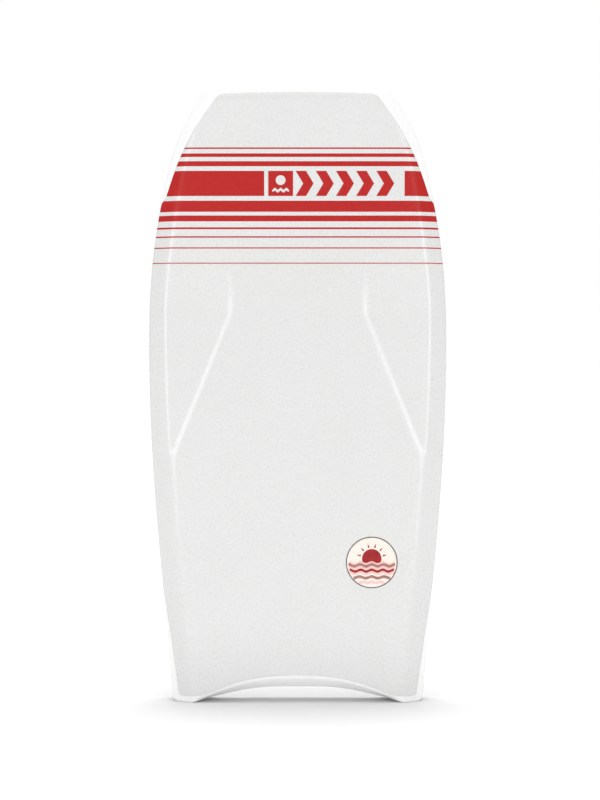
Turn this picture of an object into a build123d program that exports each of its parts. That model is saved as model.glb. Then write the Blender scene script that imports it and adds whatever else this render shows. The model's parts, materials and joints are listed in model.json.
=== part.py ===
from build123d import *
import os

# A 42 inch bodyboard, standing on the two pegs of its crescent tail.
# +Z runs from the tail to the nose, the deck faces -Y, the slick faces +Y, and X is across.
# The origin is on the ground, under the middle of the board's bounding box.
# Every layer is cut from the same few limiting solids, so neighbours share exact faces.

os.makedirs("parts", exist_ok=True)

# ---- driving dimensions, in millimetres ----
DECK_Y = -22.4  # flat part of the deck
SLICK_Y = 31.6  # flat part of the slick, so the board is 54 thick
NOSE_CROWN_Z = 1067.0  # the middle of the nose, 42 inches above the pegs
NOSE_CORNER_RADIUS = 26.0
PEG_CORNER_RADIUS = 9.0

DECK_BEND_Z = 700.0  # the deck is flat up to here, then lifts towards the nose
DECK_NOSE_LIFT = 10.0
SLICK_BEND_Z = 650.0  # the slick is flat up to here
SLICK_NOSE_LIFT = 30.0
TAIL_KICK_Z = 140.0  # the slick is flat down to here
TAIL_KICK = 3.0

SKIN = 4.5  # deck skin
SLICK = 1.2  # slick sheet
MESH = 1.0  # reinforcing mesh under the slick
LOWER_RAIL = 19.0  # slick face to the seam between the two rails
RAIL_WIDTH = 8.0

RAIL_TOP_Z = 880.0  # above this the nose bumpers take the place of the rails
RAIL_END_Z = 150.0  # below this the tail bumpers do
TAIL_PAD_X = 175.0  # inner end of a tail bumper's foot
TAIL_PAD = 10.0
TAIL_LAND = 3.0  # flat of the tail rail between the bevel's crest and the deck skin

CHINE_SLOPE = 0.467  # drop of the chine for each millimetre out from its crest
NOSE_BEVEL_INSET = 15.0
NOSE_BEVEL_DROP = 8.0
TAIL_BEVEL_DEPTH = 22.0
BEVEL_RUN_ON = 1.0  # the bevel's cutter passes both its edges by this share of its width

RECESS_DEPTH = 4.0
RECESS_RAMP_Z = 690.0  # the recess floor is level up to here
RECESS_END_Z = 865.0
RECESS_WALL_SLOPE = 2.9  # run of the recess wall for each millimetre of its depth
RECESS_RAMP_OVERRUN = 1.0  # the ramp ends this far above the deck
RECESS_CUTTER = 8.0  # the recess cutter stands this far above the recess floor

CHANNEL_X = 118.0
CHANNEL_WIDTH = 62.0
CHANNEL_FLOOR = 44.0
CHANNEL_DEPTH = 4.0
CHANNEL_LENGTH = 340.0
CHANNEL_CUTTER = 8.0  # the channel cutter stands this far out of the slick

STRINGER_Y = 5.0
STRINGER_RADIUS = 5.5
STRINGER_BORE = 4.3
STRINGER_BOTTOM = 100.0
STRINGER_TOP = 920.0
CAP_HEAD = 6.0
CAP_SPIGOT = 14.0

# Half width of the planshape at each height, from the peg to the nose corner.
SIDE = [
    (219.0, 0.0),
    (228.0, 115.0),
    (241.0, 256.0),
    (254.0, 430.0),
    (259.3, 625.0),
    (252.0, 775.0),
    (230.0, 903.0),
    (196.0, 1006.0),
    (161.0, 1062.5),
]
# How far in the crest of the chine lies at each of those points.
CHINE_INSET = [37.0, 37.0, 37.0, 37.0, 35.0, 31.0, 28.0, 25.0, 23.0]
# Inner edge of the nose bumpers, from the rails' ends to the nose corner.
BUMPER_INNER = [(206.0, 940.0), (182.0, 987.0), (135.0, 1058.0)]
BUMPER_INNER_CROWN_Z = 1061.5
BUMPER_INNER_RADIUS = 14.0
# Inner edge of a tail bumper where its side strip meets its foot.
TAIL_BUMPER_CORNER = (206.0, TAIL_PAD)

# Floor of a forearm recess: down beside the middle of the deck, then out across the chine.
RECESS_FLOOR = [
    (121.0, 887.0),
    (121.0, 681.0),
    (232.0, 406.0),
    (275.0, 406.0),
    (275.0, 887.0),
]

# The crescent: height of the tail wall and of the bevel above it, from the middle to the peg.
CRESCENT_X = [0.0, 60.0, 105.0, 147.0, 185.0]
CRESCENT_WALL = [25.0, 23.5, 17.0, 7.5, 0.0]
CRESCENT_BEVEL = [20.0, 18.0, 15.0, 9.0, 0.0]

REACH = 300.0  # the limiting solids reach this far past the board's middle
MARGIN = 40.0  # and this far past its ends
THROUGH = Plane.XZ.offset(-REACH)  # outlines seen from the deck start behind the slick
ACROSS = Plane.YZ.offset(-REACH)  # side views start past the left rail
TO_DECK = (0, -1, 0)
TO_RIGHT = (1, 0, 0)


# ---- outlines ----
def mirrored(points):
    """A left-to-right list of points from its right half, given from the middle outwards."""
    return [(-x, z) for x, z in reversed(points) if x > 0] + points


def crescent(raise_by):
    """Points of the tail's curve between the pegs, raised by a share of the bevel height."""
    heights = [w + raise_by * b for w, b in zip(CRESCENT_WALL, CRESCENT_BEVEL)]
    return mirrored(list(zip(CRESCENT_X, heights)))


def side_at(height):
    """Half width of the core at a height on the straight run between two side points."""
    for (x0, z0), (x1, z1) in zip(SIDE, SIDE[1:]):
        if z0 <= height <= z1:
            return x0 + (x1 - x0) * (height - z0) / (z1 - z0) - RAIL_WIDTH


def planshape():
    """The whole board seen from the deck."""
    with BuildSketch(THROUGH) as shape:
        with BuildLine():
            Spline(*SIDE)
            Spline(*[(-x, z) for x, z in SIDE])
            nose_x, nose_z = SIDE[-1]
            ThreePointArc((nose_x, nose_z), (0, NOSE_CROWN_Z), (-nose_x, nose_z))
            tail = crescent(0)
            Spline(*tail, tangents=[(1, 0), (1, 0)])
            Line(tail[-1], SIDE[0])
            Line(tail[0], (-SIDE[0][0], 0))
        make_face()
        corners = shape.vertices().sort_by(Axis.Y)
        pegs = [v for v in corners[:4] if abs(v.X) > TAIL_BUMPER_CORNER[0]]
        fillet(pegs, PEG_CORNER_RADIUS)
        fillet(shape.vertices().sort_by(Axis.Y)[-2:], NOSE_CORNER_RADIUS)
    return shape.sketch


def core_shape():
    """The foam core seen from the deck: the planshape less its rails and bumpers."""
    inner_sides = [(x - RAIL_WIDTH, z) for x, z in SIDE[2:7]]
    top = (side_at(RAIL_TOP_Z), RAIL_TOP_Z)
    bottom = (side_at(RAIL_END_Z), RAIL_END_Z)
    inner_sides = [bottom] + [p for p in inner_sides if p[1] < RAIL_TOP_Z] + [top]
    crest = [w + b + TAIL_LAND for w, b in zip(CRESCENT_WALL, CRESCENT_BEVEL)]
    tail = list(zip(CRESCENT_X[:-1], crest))
    tail = mirrored(tail + [(TAIL_PAD_X, TAIL_PAD)])
    with BuildSketch(THROUGH) as shape:
        with BuildLine():
            Spline(*tail, tangents=[(1, 0), (1, 0)])
            for side in (1, -1):
                foot = (side * TAIL_BUMPER_CORNER[0], TAIL_BUMPER_CORNER[1])
                Line((side * TAIL_PAD_X, TAIL_PAD), foot)
                Line(foot, (side * bottom[0], bottom[1]))
                Spline(*[(side * x, z) for x, z in inner_sides])
                Spline(*[(side * x, z) for x, z in [top] + BUMPER_INNER])
            nose_x, nose_z = BUMPER_INNER[-1]
            ThreePointArc((nose_x, nose_z), (0, BUMPER_INNER_CROWN_Z), (-nose_x, nose_z))
        make_face()
        fillet(shape.vertices().sort_by(Axis.Y)[-2:], BUMPER_INNER_RADIUS)
    return shape.sketch


# ---- limiting solids ----
def deck_profile():
    """Side view of everything behind the deck line."""
    lift_end = NOSE_CROWN_Z + MARGIN
    with BuildSketch(ACROSS) as shape:
        with BuildLine():
            flat = Line((DECK_Y, -MARGIN), (DECK_Y, DECK_BEND_Z))
            bend = TangentArc(
                (DECK_Y, DECK_BEND_Z),
                (DECK_Y - DECK_NOSE_LIFT, NOSE_CROWN_Z),
                tangent=(0, 1),
            )
            run_out = Line(bend @ 1, bend @ 1 + (bend % 1) * MARGIN)
            Polyline(run_out @ 1, (REACH, lift_end), (REACH, -MARGIN), flat @ 0)
        make_face()
    return shape.sketch


def slick_profile():
    """Side view of everything in front of the slick line."""
    with BuildSketch(ACROSS) as shape:
        with BuildLine():
            kick = TangentArc(
                (SLICK_Y, TAIL_KICK_Z), (SLICK_Y - TAIL_KICK, 0), tangent=(0, -1)
            )
            tail_end = Line(kick @ 1, kick @ 1 + (kick % 1) * MARGIN)
            Line((SLICK_Y, TAIL_KICK_Z), (SLICK_Y, SLICK_BEND_Z))
            bend = TangentArc(
                (SLICK_Y, SLICK_BEND_Z),
                (SLICK_Y - SLICK_NOSE_LIFT, NOSE_CROWN_Z),
                tangent=(0, 1),
            )
            nose_end = Line(bend @ 1, bend @ 1 + (bend % 1) * MARGIN)
            Polyline(
                nose_end @ 1,
                (-REACH, (nose_end @ 1).Y),
                (-REACH, (tail_end @ 1).Y),
                tail_end @ 1,
            )
        make_face()
    return shape.sketch


def deck_y(height):
    """Where the deck line is at a height."""
    rise = max(height - DECK_BEND_Z, 0.0) / (NOSE_CROWN_Z - DECK_BEND_Z)
    return DECK_Y - DECK_NOSE_LIFT * rise**2


def chine_cut(side):
    """The wedge in front of one side's chine, lofted through a triangle at each side point."""
    tail_x, nose_x = SIDE[0][0], SIDE[-1][0]
    run_on = [(2 * tail_x - SIDE[1][0], -SIDE[1][1])]
    run_off = [(2 * nose_x - SIDE[-2][0], 2 * SIDE[-1][1] - SIDE[-2][1])]
    insets = CHINE_INSET[:1] + CHINE_INSET + CHINE_INSET[-1:]
    with BuildPart() as wedge:
        for (half_width, height), inset in zip(run_on + SIDE + run_off, insets):
            crest = half_width - inset
            reach = inset + MARGIN
            level = deck_y(height)
            with BuildSketch(Plane.XY.offset(height)):
                with BuildLine():
                    Polyline(
                        (side * (crest - MARGIN), level - CHINE_SLOPE * MARGIN),
                        (side * (crest + reach), level + CHINE_SLOPE * reach),
                        (side * (crest + reach), level - CHINE_SLOPE * MARGIN),
                        close=True,
                    )
                make_face()
        loft()
    return wedge.part


def tail_bevel_cut():
    """The bevel along the crescent, from the deck's edge down to the tail wall."""
    with BuildPart() as wedge:
        for share in (1 + BEVEL_RUN_ON, -BEVEL_RUN_ON):
            level = DECK_Y + TAIL_BEVEL_DEPTH * (1 - share)
            curve = crescent(share)
            with BuildSketch(Plane.XZ.offset(-level)):
                with BuildLine():
                    Spline(*curve)
                    left, right = curve[0], curve[-1]
                    Polyline(right, (right[0], -MARGIN), (left[0], -MARGIN), left)
                make_face()
        loft(ruled=True)
    return wedge.part


def nose_bevel_cut():
    """The bevel across the front of the nose."""
    level = deck_y(NOSE_CROWN_Z)
    inner = (level, NOSE_CROWN_Z - NOSE_BEVEL_INSET)
    outer = (level + NOSE_BEVEL_DROP, NOSE_CROWN_Z)
    run = Vector(*outer) - Vector(*inner)
    with BuildPart() as wedge:
        with BuildSketch(ACROSS):
            with BuildLine():
                start = Vector(*inner) - run
                end = Vector(*outer) + run
                Polyline(start, end, (start.X, end.Y), close=True)
            make_face()
        extrude(amount=2 * REACH)
    return wedge.part


def recess_cut(side):
    """A shallow forearm recess between the chine and the middle of the deck.

    Its floor is level, and ramps up to the deck towards the nose.
    """
    floor_y = DECK_Y + RECESS_DEPTH
    ramp_end = (deck_y(RECESS_END_Z) - RECESS_RAMP_OVERRUN, RECESS_END_Z)
    with BuildPart() as pocket:
        for height in (0, RECESS_CUTTER):
            with BuildSketch(Plane.XZ.offset(height - floor_y)):
                with BuildLine():
                    Polyline(*[(side * x, z) for x, z in RECESS_FLOOR], close=True)
                make_face()
                if height:
                    offset(amount=height * RECESS_WALL_SLOPE, kind=Kind.INTERSECTION)
        loft(ruled=True)
        with BuildSketch(ACROSS):
            with BuildLine():
                Polyline(
                    (floor_y, 0),
                    (floor_y, RECESS_RAMP_Z),
                    ramp_end,
                    (-REACH, RECESS_END_Z),
                    (-REACH, 0),
                    close=True,
                )
            make_face()
        extrude(amount=2 * REACH, mode=Mode.INTERSECT)
    return pocket.part


def channel_cut(side):
    """One tail channel in the slick, deepest at the tail and running out up the board."""
    tail_y = SLICK_Y - TAIL_KICK
    with BuildPart() as groove:
        with BuildSketch(Plane.XY.offset(-MARGIN)):
            with BuildLine():
                Polyline(
                    (side * CHANNEL_X - CHANNEL_FLOOR / 2, tail_y - CHANNEL_DEPTH),
                    (side * CHANNEL_X + CHANNEL_FLOOR / 2, tail_y - CHANNEL_DEPTH),
                    (side * CHANNEL_X + CHANNEL_WIDTH, tail_y + CHANNEL_CUTTER),
                    (side * CHANNEL_X - CHANNEL_WIDTH, tail_y + CHANNEL_CUTTER),
                    close=True,
                )
            make_face()
        rise = CHANNEL_DEPTH + TAIL_KICK
        extrude(amount=CHANNEL_LENGTH + MARGIN, dir=(0, rise / CHANNEL_LENGTH, 1))
    return groove.part


def upright_block(low_x, high_x, low_z, high_z):
    """A block through the whole thickness of the board, between two widths and two heights."""
    with BuildPart() as block:
        with BuildSketch(THROUGH):
            with BuildLine():
                Polyline((low_x, low_z), (high_x, low_z), (high_x, high_z), (low_x, high_z), close=True)
            make_face()
        extrude(amount=2 * REACH)
    return block.part


def backwards(solid, distance):
    """The same solid moved towards the slick."""
    return solid.moved(Location((0, distance, 0)))


with BuildPart() as outline:
    extrude(planshape(), amount=2 * REACH, dir=TO_DECK)

with BuildPart() as core_outline:
    extrude(core_shape(), amount=2 * REACH, dir=TO_DECK)

with BuildPart() as behind_deck:
    extrude(deck_profile(), amount=2 * REACH, dir=TO_RIGHT)
    for side in (1, -1):
        add(chine_cut(side), mode=Mode.SUBTRACT)
        add(recess_cut(side), mode=Mode.SUBTRACT)
    add(tail_bevel_cut(), mode=Mode.SUBTRACT)
    add(nose_bevel_cut(), mode=Mode.SUBTRACT)

with BuildPart() as before_slick:
    extrude(slick_profile(), amount=2 * REACH, dir=TO_RIGHT)
    for side in (1, -1):
        add(channel_cut(side), mode=Mode.SUBTRACT)

with BuildPart() as before_seam:
    extrude(slick_profile(), amount=2 * REACH, dir=TO_RIGHT)
seam_side = backwards(before_seam.part, -LOWER_RAIL)

# The band between the planshape and the core, shared out by height and side.
with BuildPart() as nose_zone:
    add(upright_block(-REACH, REACH, RAIL_TOP_Z, NOSE_CROWN_Z + MARGIN))
    add(core_outline.part, mode=Mode.SUBTRACT)

with BuildPart() as tail_zone:
    add(upright_block(TAIL_PAD_X, REACH, -MARGIN, RAIL_END_Z))
    add(upright_block(-REACH, -TAIL_PAD_X, -MARGIN, RAIL_END_Z))
    add(core_outline.part, mode=Mode.SUBTRACT)

with BuildPart() as crescent_zone:
    add(upright_block(-TAIL_PAD_X, TAIL_PAD_X, -MARGIN, RAIL_END_Z))
    add(core_outline.part, mode=Mode.SUBTRACT)

under_skin = backwards(behind_deck.part, SKIN)
over_slick = backwards(before_slick.part, -SLICK)
over_mesh = backwards(before_slick.part, -SLICK - MESH)


# ---- deck skin: one sheet of foam over the deck and the chines ----
with BuildPart() as deck_skin:
    add(outline.part)
    add(behind_deck.part, mode=Mode.INTERSECT)
    add(under_skin, mode=Mode.SUBTRACT)
    add(nose_zone.part, mode=Mode.SUBTRACT)
    add(tail_zone.part, mode=Mode.SUBTRACT)
    add(crescent_zone.part, mode=Mode.SUBTRACT)
deck_skin.part.label = "deck_skin"
export_step(deck_skin.part, "parts/deck_skin.step")

# ---- bottom slick: the hard, smooth sheet the board planes on ----
with BuildPart() as bottom_slick:
    add(outline.part)
    add(before_slick.part, mode=Mode.INTERSECT)
    add(over_slick, mode=Mode.SUBTRACT)
    add(nose_zone.part, mode=Mode.SUBTRACT)
    add(tail_zone.part, mode=Mode.SUBTRACT)
bottom_slick.part.label = "bottom_slick"
export_step(bottom_slick.part, "parts/bottom_slick.step")

# ---- core mesh: plastic netting laminated between the core and the slick ----
with BuildPart() as core_mesh:
    add(core_outline.part)
    add(over_slick, mode=Mode.INTERSECT)
    add(over_mesh, mode=Mode.SUBTRACT)
core_mesh.part.label = "core_mesh"
export_step(core_mesh.part, "parts/core_mesh.step")

# ---- foam core, bored from the tail for the stringer ----
with BuildPart() as foam_core:
    add(core_outline.part)
    add(under_skin, mode=Mode.INTERSECT)
    add(over_mesh, mode=Mode.INTERSECT)
    with BuildSketch(Plane.XY):
        with Locations((0, STRINGER_Y)):
            Circle(STRINGER_RADIUS)
    extrude(amount=STRINGER_TOP + CAP_HEAD, mode=Mode.SUBTRACT)
foam_core.part.label = "foam_core"
export_step(foam_core.part, "parts/foam_core.step")

# ---- stringer: a tube down the middle of the core that keeps it from folding ----
with BuildPart() as stringer_tube:
    with BuildSketch(Plane.XY.offset(STRINGER_BOTTOM)):
        with Locations((0, STRINGER_Y)):
            Circle(STRINGER_RADIUS)
            Circle(STRINGER_BORE, mode=Mode.SUBTRACT)
    extrude(amount=STRINGER_TOP - STRINGER_BOTTOM)
stringer_tube.part.label = "stringer_tube"
export_step(stringer_tube.part, "parts/stringer_tube.step")


def stringer_cap(end, outwards):
    """A cap with a round head outside the tube and a spigot inside it."""
    with BuildPart() as cap:
        with BuildSketch(Plane.XY.offset(end)):
            with Locations((0, STRINGER_Y)):
                Circle(STRINGER_RADIUS)
        extrude(amount=outwards * CAP_HEAD)
        with BuildSketch(Plane.XY.offset(end)):
            with Locations((0, STRINGER_Y)):
                Circle(STRINGER_BORE)
        extrude(amount=-outwards * CAP_SPIGOT)
    return cap.part


with BuildPart() as stringer_cap_front:
    add(stringer_cap(STRINGER_TOP, 1))
stringer_cap_front.part.label = "stringer_cap_front"
export_step(stringer_cap_front.part, "parts/stringer_cap_front.step")

with BuildPart() as stringer_cap_rear:
    add(stringer_cap(STRINGER_BOTTOM, -1))
stringer_cap_rear.part.label = "stringer_cap_rear"
export_step(stringer_cap_rear.part, "parts/stringer_cap_rear.step")

# ---- foam plug that closes the stringer's hole at the tail ----
with BuildPart() as stringer_plug:
    with BuildSketch(Plane.XY):
        with Locations((0, STRINGER_Y)):
            Circle(STRINGER_RADIUS)
    extrude(amount=STRINGER_BOTTOM - CAP_HEAD)
    add(core_outline.part, mode=Mode.INTERSECT)
stringer_plug.part.label = "stringer_plug"
export_step(stringer_plug.part, "parts/stringer_plug.step")

# ---- rails: two strips of foam on each side, the upper one under the edge of the skin ----
with BuildPart() as rail_band:
    add(outline.part)
    add(core_outline.part, mode=Mode.SUBTRACT)
    add(upright_block(-REACH, REACH, RAIL_END_Z, RAIL_TOP_Z), mode=Mode.INTERSECT)
    add(under_skin, mode=Mode.INTERSECT)
    add(over_slick, mode=Mode.INTERSECT)

for hand, side in (("right", 1), ("left", -1)):
    half = upright_block(0, side * REACH, 0, NOSE_CROWN_Z)
    with BuildPart() as rail_upper:
        add(rail_band.part)
        add(half, mode=Mode.INTERSECT)
        add(seam_side, mode=Mode.INTERSECT)
    rail_upper.part.label = f"rail_upper_{hand}"
    export_step(rail_upper.part, f"parts/rail_upper_{hand}.step")

    with BuildPart() as rail_lower:
        add(rail_band.part)
        add(half, mode=Mode.INTERSECT)
        add(seam_side, mode=Mode.SUBTRACT)
    rail_lower.part.label = f"rail_lower_{hand}"
    export_step(rail_lower.part, f"parts/rail_lower_{hand}.step")

# ---- nose bumpers: two bands round the nose, stacked like the rails they continue ----
with BuildPart() as nose_band:
    add(outline.part)
    add(nose_zone.part, mode=Mode.INTERSECT)
    add(behind_deck.part, mode=Mode.INTERSECT)
    add(before_slick.part, mode=Mode.INTERSECT)

with BuildPart() as nose_bumper_upper:
    add(nose_band.part)
    add(seam_side, mode=Mode.INTERSECT)
nose_bumper_upper.part.label = "nose_bumper_upper"
export_step(nose_bumper_upper.part, "parts/nose_bumper_upper.step")

with BuildPart() as nose_bumper_lower:
    add(nose_band.part)
    add(seam_side, mode=Mode.SUBTRACT)
nose_bumper_lower.part.label = "nose_bumper_lower"
export_step(nose_bumper_lower.part, "parts/nose_bumper_lower.step")

# ---- tail bumpers: a foot under each peg, turned up along the side ----
for hand, side in (("right", 1), ("left", -1)):
    with BuildPart() as tail_bumper:
        add(outline.part)
        add(tail_zone.part, mode=Mode.INTERSECT)
        add(upright_block(0, side * REACH, -MARGIN, RAIL_END_Z), mode=Mode.INTERSECT)
        add(behind_deck.part, mode=Mode.INTERSECT)
        add(before_slick.part, mode=Mode.INTERSECT)
    tail_bumper.part.label = f"tail_bumper_{hand}"
    export_step(tail_bumper.part, f"parts/tail_bumper_{hand}.step")

# ---- tail rail: the bevelled strip that closes the core along the crescent ----
with BuildPart() as tail_rail:
    add(outline.part)
    add(crescent_zone.part, mode=Mode.INTERSECT)
    add(behind_deck.part, mode=Mode.INTERSECT)
    add(over_slick, mode=Mode.INTERSECT)
tail_rail.part.label = "tail_rail"
export_step(tail_rail.part, "parts/tail_rail.step")
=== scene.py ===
import json
import math

import bmesh
import bpy
import numpy as np
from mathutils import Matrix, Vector

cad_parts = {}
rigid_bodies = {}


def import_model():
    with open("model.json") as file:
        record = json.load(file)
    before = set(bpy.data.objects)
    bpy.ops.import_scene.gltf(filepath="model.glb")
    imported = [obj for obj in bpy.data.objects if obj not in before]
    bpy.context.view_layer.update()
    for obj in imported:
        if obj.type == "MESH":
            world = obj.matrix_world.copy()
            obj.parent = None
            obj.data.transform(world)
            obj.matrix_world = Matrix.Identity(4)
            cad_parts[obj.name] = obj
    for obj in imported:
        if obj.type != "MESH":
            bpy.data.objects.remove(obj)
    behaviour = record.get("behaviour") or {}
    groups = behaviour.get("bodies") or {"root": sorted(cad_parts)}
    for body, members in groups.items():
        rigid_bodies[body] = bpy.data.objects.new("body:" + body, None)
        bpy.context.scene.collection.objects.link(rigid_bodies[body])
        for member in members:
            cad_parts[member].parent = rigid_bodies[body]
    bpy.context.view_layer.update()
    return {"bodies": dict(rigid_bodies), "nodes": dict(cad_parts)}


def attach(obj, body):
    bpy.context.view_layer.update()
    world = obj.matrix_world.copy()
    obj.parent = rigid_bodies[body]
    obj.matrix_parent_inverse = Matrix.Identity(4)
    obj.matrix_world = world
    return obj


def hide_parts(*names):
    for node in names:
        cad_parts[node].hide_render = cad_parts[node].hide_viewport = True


# A bodyboard standing on its tail pegs: deck towards -Y, slick towards +Y, nose up.
# Shapes are worked out in millimetres, as in the CAD, and stored in metres.

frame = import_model()
nodes = frame["nodes"]
body = next(iter(frame["bodies"]))

MM = 0.001

# ---- the board's dimensions, in millimetres, the same as the CAD's ----
DECK_Y = -22.4
SLICK_Y = 31.6
NOSE_CROWN_Z = 1067.0
DECK_BEND_Z = 700.0
DECK_NOSE_LIFT = 10.0
SLICK_BEND_Z = 650.0
SLICK_NOSE_LIFT = 30.0
TAIL_KICK_Z = 140.0
TAIL_KICK = 3.0
SKIN = 4.5
SLICK = 1.2
LOWER_RAIL = 19.0
RAIL_WIDTH = 8.0
CHINE_SLOPE = 0.467
NOSE_BEVEL_INSET = 15.0
NOSE_BEVEL_DROP = 8.0
TAIL_BEVEL_DEPTH = 22.0
RECESS_DEPTH = 4.0
RECESS_RAMP_Z = 690.0
RECESS_END_Z = 865.0
RECESS_WALL_SLOPE = 2.9
CHANNEL_X = 118.0
CHANNEL_FLOOR = 44.0
CHANNEL_DEPTH = 4.0
CHANNEL_LENGTH = 340.0
CHANNEL_WALL_SLOPE = 0.3
CHANNEL_START_Z = -40.0
CHANNEL_FLOOR_ROUNDING = 2.5
CHANNEL_EDGE_ROUNDING = 0.45

# Half width of the planshape at each height, from the peg to the nose corner.
SIDE = [
    (219.0, 0.0),
    (228.0, 115.0),
    (241.0, 256.0),
    (254.0, 430.0),
    (259.3, 625.0),
    (252.0, 775.0),
    (230.0, 903.0),
    (196.0, 1006.0),
    (161.0, 1062.5),
]
# How far in the crest of the chine lies at each of those points.
CHINE_INSET = [37.0, 37.0, 37.0, 37.0, 35.0, 31.0, 28.0, 25.0, 23.0]
NOSE_CORNER = SIDE[-1]
# Floor of a forearm recess: down beside the middle of the deck, then out across the chine.
RECESS_FLOOR = [
    (121.0, 887.0),
    (121.0, 681.0),
    (232.0, 406.0),
    (275.0, 406.0),
    (275.0, 887.0),
]
# The crescent: height of the tail wall and of the bevel above it, from the middle to the peg.
CRESCENT_X = [0.0, 60.0, 105.0, 147.0, 185.0]
CRESCENT_WALL = [25.0, 23.5, 17.0, 7.5, 0.0]
CRESCENT_BEVEL = [20.0, 18.0, 15.0, 9.0, 0.0]

# Width of the bumpers as the deck shows them, against height up the sides and along the tail.
NOSE_BAND = [
    (870.0, 0.6),
    (880.0, 6.0),
    (905.0, 9.0),
    (940.0, 13.5),
    (987.0, 21.0),
    (1030.0, 26.0),
    (1067.0, 29.0),
]
NOSE_BAND_CROWN = 5.5  # width of the bumper over the middle of the nose
TAIL_BAND = [(0.0, 13.0), (60.0, 9.0), (200.0, 0.6)]
TAIL_LAND = 3.0  # flat of the tail rail between the bevel's crest and the deck skin
TAIL_PAD = [(160.0, 14.3), (175.0, 11.5), (190.0, 10.6), (206.0, 11.0), (240.0, 12.0)]
NOSE_BAND_Z = NOSE_BAND[0][0]
TAIL_BAND_Z = TAIL_BAND[-1][0]
TAIL_PAD_X = TAIL_PAD[0][0]


# ---- smooth functions ----
def natural_cubic(points):
    """A natural cubic through (t, value) points, as a function of t, straight beyond its ends."""
    t, v = np.array(points, float).T
    h = np.diff(t)
    slope = np.diff(v) / h
    n = len(t)
    system = np.eye(n)
    right = np.zeros(n)
    for i in range(1, n - 1):
        system[i, i - 1 : i + 2] = h[i - 1], 2 * (h[i - 1] + h[i]), h[i]
        right[i] = 6 * (slope[i] - slope[i - 1])
    m = np.linalg.solve(system, right)
    first = slope[0] - h[0] * m[1] / 6
    last = slope[-1] + h[-1] * m[-2] / 6

    def value(at):
        at = np.asarray(at, float)
        i = np.clip(np.searchsorted(t, at) - 1, 0, n - 2)
        u = np.clip(at, t[0], t[-1]) - t[i]
        w = h[i] - u
        inside = (m[i] * w**3 + m[i + 1] * u**3) / (6 * h[i])
        inside += (v[i] / h[i] - m[i] * h[i] / 6) * w
        inside += (v[i + 1] / h[i] - m[i + 1] * h[i] / 6) * u
        return inside + first * np.minimum(at - t[0], 0) + last * np.maximum(at - t[-1], 0)

    return value


def softplus(t, width):
    """max(t, 0) with its corner rounded over about three times width on each side."""
    return width * np.logaddexp(0, t / width)


def smooth_max(a, b, width):
    return a + softplus(b - a, width)


def smoothstep(low, high, t):
    s = np.clip((t - low) / (high - low), 0, 1)
    return s * s * (3 - 2 * s)


def arc_drop(past, length, drop):
    """How far a circular arc has left its tangent, if it is off by drop after length."""
    radius = (length**2 + drop**2) / (2 * drop)
    past = np.maximum(past, 0)
    return radius - np.sqrt(radius**2 - past**2)


def even_cubic(xs, values):
    """A natural cubic through points given for the right half and mirrored for the left."""
    left = [(-x, value) for x, value in zip(xs[:0:-1], values[:0:-1])]
    return natural_cubic(left + list(zip(xs, values)))


half_width = natural_cubic([(z, x) for x, z in SIDE])
chine_inset = natural_cubic([(z, inset) for (_, z), inset in zip(SIDE, CHINE_INSET)])
tail_wall = even_cubic(CRESCENT_X, CRESCENT_WALL)
tail_bevel = even_cubic(CRESCENT_X, CRESCENT_BEVEL)


def crescent_z(x):
    """Height of the tail's outline."""
    return np.where(np.abs(x) < CRESCENT_X[-1], np.maximum(tail_wall(x), 0), 0)


def nose_z(x):
    """Height of the nose's outline."""
    return NOSE_CROWN_Z - arc_drop(np.abs(x), NOSE_CORNER[0], NOSE_CROWN_Z - NOSE_CORNER[1])


def inside_distance(x, z, polygon):
    """Signed distance to a polygon, positive inside."""
    far = np.full(np.shape(x), np.inf)
    inside = np.zeros(np.shape(x), bool)
    for (x0, z0), (x1, z1) in zip(polygon, polygon[1:] + polygon[:1]):
        run_x, run_z = x1 - x0, z1 - z0
        along = np.clip(((x - x0) * run_x + (z - z0) * run_z) / (run_x**2 + run_z**2), 0, 1)
        far = np.minimum(far, np.hypot(x - x0 - along * run_x, z - z0 - along * run_z))
        crosses = (z0 > z) != (z1 > z)
        reach = x0 + (z - z0) * run_x / (run_z if run_z else 1)
        inside ^= crosses & (x < reach)
    return np.where(inside, far, -far)


# ---- surfaces: how far back the deck and the slick lie at each width and height ----
CREST_ROUNDING = 3.6
CROWN_SLOPE = 0.03  # the deck starts to fall this gently before the chine's crest
CROWN_WIDTH = 35.0
CROWN_ROUNDING = 9.0
RECESS_ROUNDING = 1.7
RECESS_RAMP_LEAD = 20.0  # the ramp of a recess floor begins this far below the CAD's
BEVEL_ROUNDING = 1.6
BEVEL_LEAST = 7.0  # keeps the tail bevel's slope finite beside the pegs
BEVEL_FADE = (148.0, 188.0)  # the tail bevel dies out between these widths
JOIN_ROUNDING = 1.0  # where the chines and the two bevels meet
RECESS_JOIN_ROUNDING = 0.7  # where a recess runs out into them


def joined(chine, tail, nose, recess):
    """The deepest of the cuts into the deck, with soft joins."""
    drop = smooth_max(smooth_max(chine, tail, JOIN_ROUNDING), nose, JOIN_ROUNDING)
    return smooth_max(drop, recess, RECESS_JOIN_ROUNDING)


UNCUT = joined(0.0, 0.0, 0.0, 0.0)  # what the soft joins add where nothing is cut


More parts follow.
